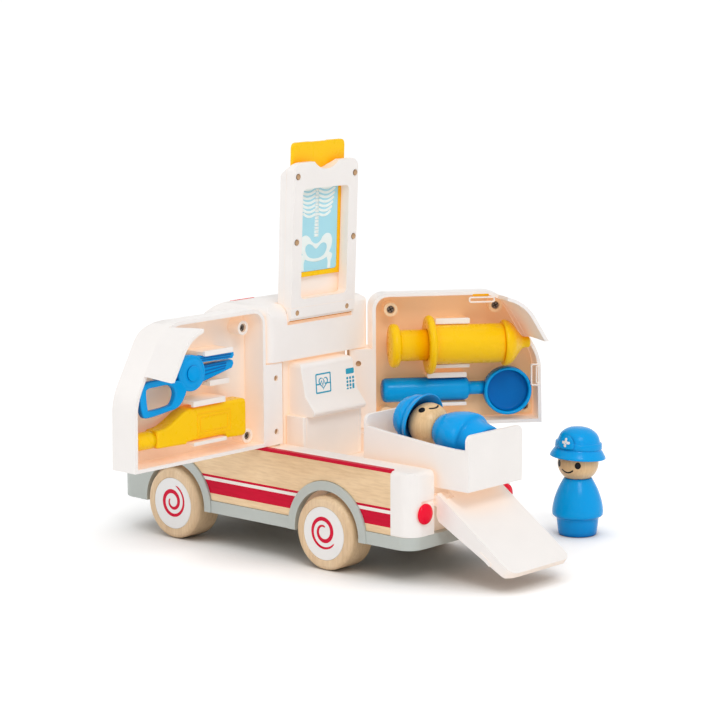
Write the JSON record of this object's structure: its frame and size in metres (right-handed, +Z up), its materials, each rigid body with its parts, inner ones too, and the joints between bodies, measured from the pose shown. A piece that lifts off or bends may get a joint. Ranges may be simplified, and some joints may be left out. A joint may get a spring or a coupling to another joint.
{
  "type": "toy ambulance",
  "caption": "Toy ambulance with swinging side cabinets, hinged roof lid with picture slide, tailgate ramp, sliding stretcher, clip-in doctor's tools and peg dolls.",
  "frame": {"origin": "on the ground in the mid plane, 5.2 mm ahead of the middle between the axles", "axes": "+X to the front of the vehicle, +Y to its left, +Z up"},
  "size_m": [0.3055, 0.2977, 0.2511],
  "materials": {
    "white_plastic": "satin moulded",
    "grey_plastic": "matte moulded",
    "wood": "clear lacquer",
    "yellow_plastic": "gloss moulded",
    "blue_plastic": "gloss moulded",
    "red_plastic": "gloss moulded",
    "lamp_plastic": "gloss moulded",
    "window_plastic": "tinted",
    "film": "printed film",
    "skin_plastic": "satin",
    "steel": "plain"
  },
  "bodies": {
    "base": {"chassis_base": "grey_plastic", "body_tub": "white_plastic", "left_side_panel": "wood", "right_side_panel": "wood", "tail_light_left": "red_plastic", "tail_light_right": "red_plastic", "head_light_left": "lamp_plastic", "head_light_right": "lamp_plastic", "cab_shell": "white_plastic", "cab_bulkhead": "white_plastic", "monitor_console": "white_plastic", "windscreen": "window_plastic", "left_cab_window": "window_plastic", "right_cab_window": "window_plastic", "lid_hinge_pin": "steel", "left_hinge_pin": "steel", "right_hinge_pin": "steel", "ramp_hinge_pin": "steel", "chassis_screws": "steel"},
    "left_door": {"left_shell": "white_plastic", "left_tool_board": "white_plastic", "left_board_screws": "steel"},
    "right_door": {"right_shell": "white_plastic", "right_tool_board": "white_plastic", "right_board_screws": "steel"},
    "lid": {"roof_lid": "white_plastic", "lid_frame": "white_plastic", "lid_screws": "steel"},
    "picture": {"xray_slide": "yellow_plastic", "xray_film": "film"},
    "ramp": {"ramp_panel": "white_plastic"},
    "bed": {"bed_tray": "white_plastic"},
    "patient": {"patient_body": "blue_plastic", "patient_head": "skin_plastic", "patient_hat": "blue_plastic"},
    "medic": {"medic_body": "blue_plastic", "medic_head": "skin_plastic", "medic_hat": "blue_plastic"},
    "scissors": {"scissor_half_a": "blue_plastic", "scissor_rivet": "blue_plastic"},
    "scissors_b": {"scissor_half_b": "blue_plastic"},
    "thermometer": {"thermometer_body": "yellow_plastic", "thermometer_nozzle": "yellow_plastic"},
    "syringe": {"syringe_barrel": "yellow_plastic", "syringe_nose": "yellow_plastic"},
    "plunger": {"syringe_plunger": "yellow_plastic"},
    "mirror": {"mirror_handle": "blue_plastic", "mirror_dish": "blue_plastic"},
    "front_wheels": {"front_axle": "steel", "front_left_wheel": "wood", "front_right_wheel": "wood", "front_left_disc": "white_plastic", "front_right_disc": "white_plastic"},
    "rear_wheels": {"rear_axle": "steel", "rear_left_wheel": "wood", "rear_right_wheel": "wood", "rear_left_disc": "white_plastic", "rear_right_disc": "white_plastic"}
  },
  "joints": [
    {"name": "left_door_swing", "type": "hinge", "parent": "base", "child": "left_door", "pos_m": [-0.0142, 0.0335, 0.09], "axis": [0, 0, -1], "range_deg": [-90, 0]},
    {"name": "right_door_swing", "type": "hinge", "parent": "base", "child": "right_door", "pos_m": [-0.0142, -0.0335, 0.09], "axis": [0, 0, 1], "range_deg": [-51, 39]},
    {"name": "lid_flip", "type": "hinge", "parent": "base", "child": "lid", "pos_m": [-0.017, 0, 0.1476], "axis": [0, 1, 0], "range_deg": [-87.5, 0]},
    {"name": "picture_slide", "type": "slide", "parent": "lid", "child": "picture", "axis": [-0.0436, 0, 0.999], "range_m": [-0.014, 0.078]},
    {"name": "ramp_fold", "type": "hinge", "parent": "base", "child": "ramp", "pos_m": [-0.137, 0, 0.048], "axis": [0, -1, 0], "range_deg": [-125.3, 0]},
    {"name": "bed_slide", "type": "slide", "parent": "base", "child": "bed", "axis": [-1, 0, 0], "range_m": [-0.0395, 0]},
    {"name": "patient_lift", "type": "slide", "parent": "bed", "child": "patient", "axis": [0, 0, 1], "range_m": [0, 0.06]},
    {"name": "medic_lift", "type": "slide", "parent": "base", "child": "medic", "axis": [0, 0, 1], "range_m": [0, 0.06]},
    {"name": "scissors_lift", "type": "slide", "parent": "left_door", "child": "scissors", "axis": [-1, 0, 0], "range_m": [0, 0.035]},
    {"name": "scissors_snip", "type": "hinge", "parent": "scissors", "child": "scissors_b", "pos_m": [-0.014, 0.1079, 0.1208], "axis": [1, 0, 0], "range_deg": [-10, 0]},
    {"name": "thermometer_lift", "type": "slide", "parent": "left_door", "child": "thermometer", "axis": [-1, 0, 0], "range_m": [0, 0.035]},
    {"name": "syringe_lift", "type": "slide", "parent": "right_door", "child": "syringe", "axis": [-0.7771, 0.6293, 0], "range_m": [0, 0.035]},
    {"name": "syringe_push", "type": "slide", "parent": "syringe", "child": "plunger", "axis": [0.6293, 0.7771, 0], "range_m": [-0.0165, 0.003]},
    {"name": "mirror_lift", "type": "slide", "parent": "right_door", "child": "mirror", "axis": [-0.7771, 0.6293, 0], "range_m": [0, 0.035]},
    {"name": "front_axle_spin", "type": "hinge", "parent": "base", "child": "front_wheels", "pos_m": [0.0593, 0, 0.0225], "axis": [0, 1, 0], "continuous": true},
    {"name": "rear_axle_spin", "type": "hinge", "parent": "base", "child": "rear_wheels", "pos_m": [-0.0697, 0, 0.0225], "axis": [0, 1, 0], "continuous": true}
  ],
  "couplings": [
    {"joint": "bed_slide", "follows": "ramp_fold", "m_per_rad": 0.01805}
  ]
}
